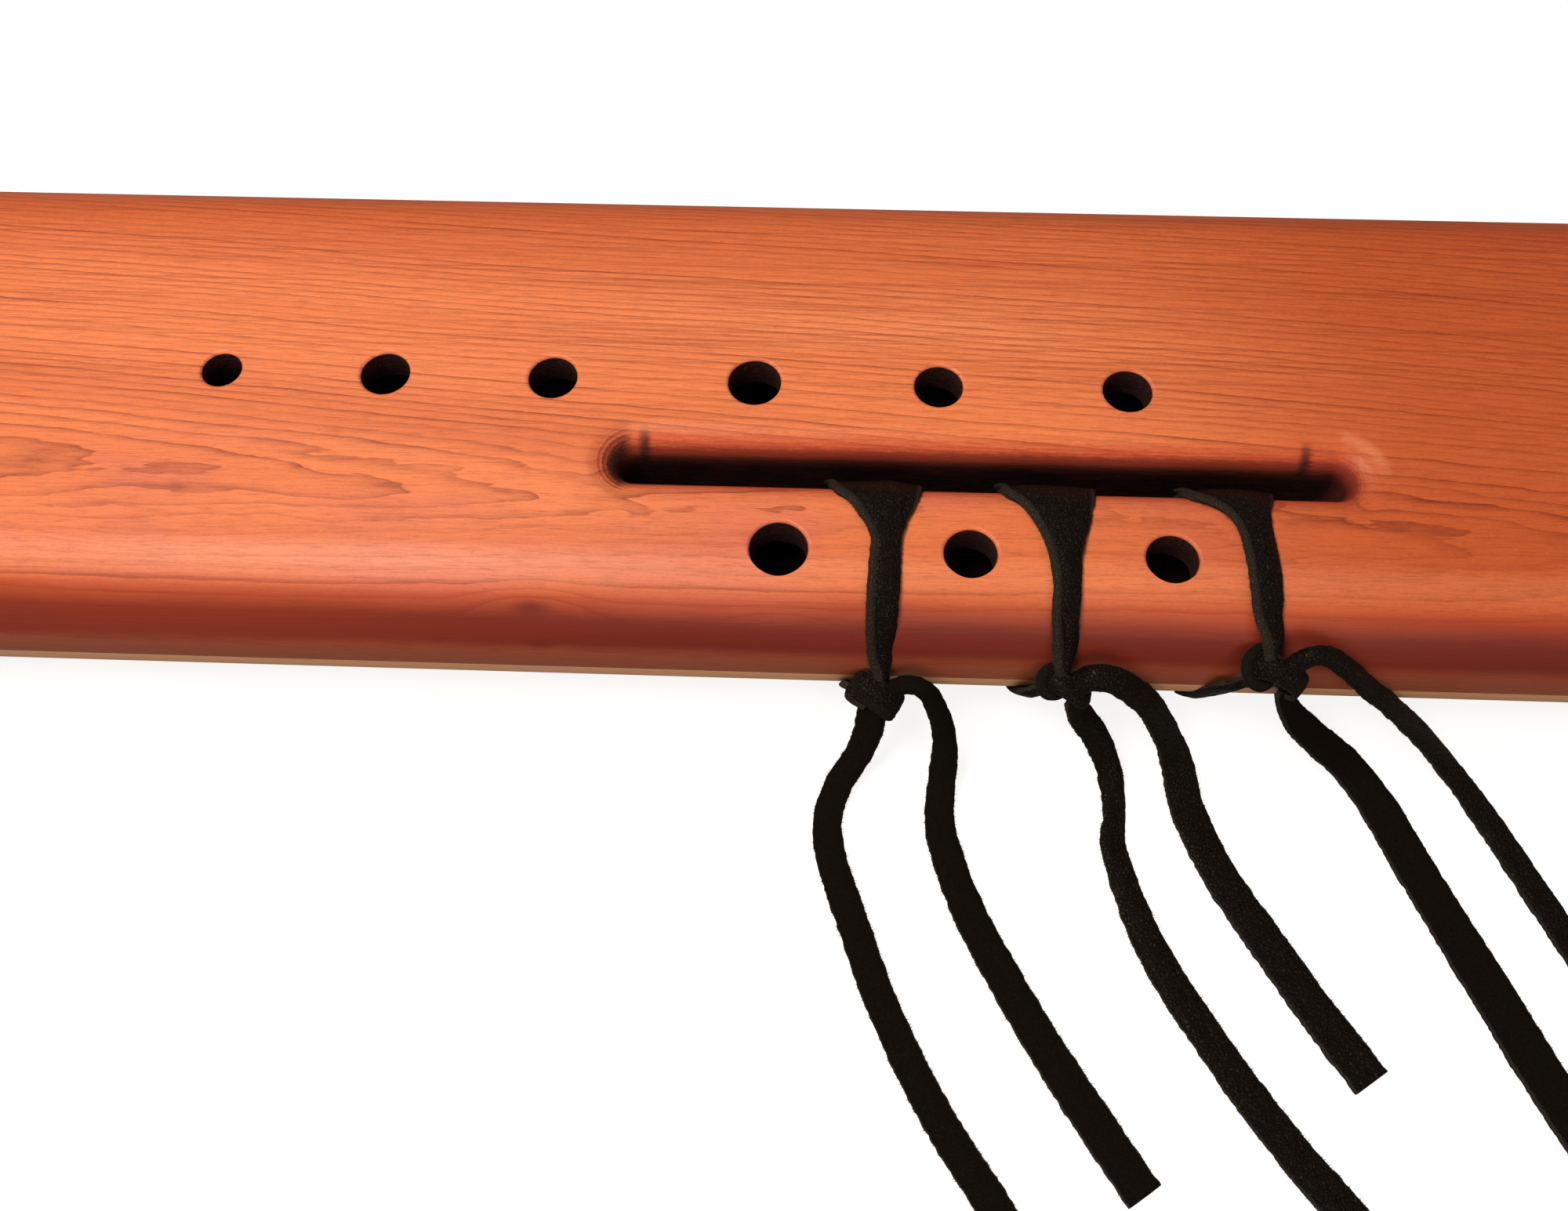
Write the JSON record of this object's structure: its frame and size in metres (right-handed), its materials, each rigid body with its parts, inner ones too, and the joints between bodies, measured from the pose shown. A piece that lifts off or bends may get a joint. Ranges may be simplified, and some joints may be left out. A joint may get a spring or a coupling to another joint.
{
  "type": "wooden drone flute",
  "caption": "Wooden end-blown drone flute with three bores, finger holes, a slot with sliding leather hole straps, and tied voicing blocks.",
  "frame": {"origin": "middle of the back face, half way between the mouthpiece tip and the foot", "axes": "+X towards the foot, +Y towards the fixed drone, +Z out of the finger-hole face"},
  "size_m": [0.66, 0.2064, 0.0541],
  "materials": {
    "oiled_cedar": "satin oil",
    "pale_cedar": "satin oil",
    "block_wood": "satin oil",
    "black_leather": "dull"
  },
  "bodies": {
    "body": {"front_shell": "oiled_cedar", "back_shell": "pale_cedar", "block_tie": "black_leather", "block_tie_knot": "black_leather"},
    "melody_block": {"melody_block": "block_wood"},
    "fixed_drone_block": {"fixed_drone_block": "block_wood"},
    "tuned_drone_block": {"tuned_drone_block": "block_wood"},
    "hole_strap_1": {"hole_strap_1": "black_leather", "strap_knot_1": "black_leather", "strap_tail_1_left": "black_leather", "strap_tail_1_right": "black_leather"},
    "hole_strap_2": {"hole_strap_2": "black_leather", "strap_knot_2": "black_leather", "strap_tail_2_left": "black_leather", "strap_tail_2_right": "black_leather"},
    "hole_strap_3": {"hole_strap_3": "black_leather", "strap_knot_3": "black_leather", "strap_tail_3_left": "black_leather", "strap_tail_3_right": "black_leather"}
  },
  "joints": [
    {"name": "melody_voicing", "type": "slide", "parent": "body", "child": "melody_block", "axis": [1, 0, 0], "range_m": [-0.0015, 0.0015]},
    {"name": "fixed_drone_voicing", "type": "slide", "parent": "body", "child": "fixed_drone_block", "axis": [1, 0, 0], "range_m": [-0.0015, 0.0015]},
    {"name": "tuned_drone_voicing", "type": "slide", "parent": "body", "child": "tuned_drone_block", "axis": [1, 0, 0], "range_m": [-0.0015, 0.0015]},
    {"name": "strap_1_slide", "type": "slide", "parent": "body", "child": "hole_strap_1", "axis": [1, 0, 0], "range_m": [-0.03, 0]},
    {"name": "strap_2_slide", "type": "slide", "parent": "body", "child": "hole_strap_2", "axis": [1, 0, 0], "range_m": [-0.014, 0]},
    {"name": "strap_3_slide", "type": "slide", "parent": "body", "child": "hole_strap_3", "axis": [1, 0, 0], "range_m": [-0.012, 0.01]}
  ]
}
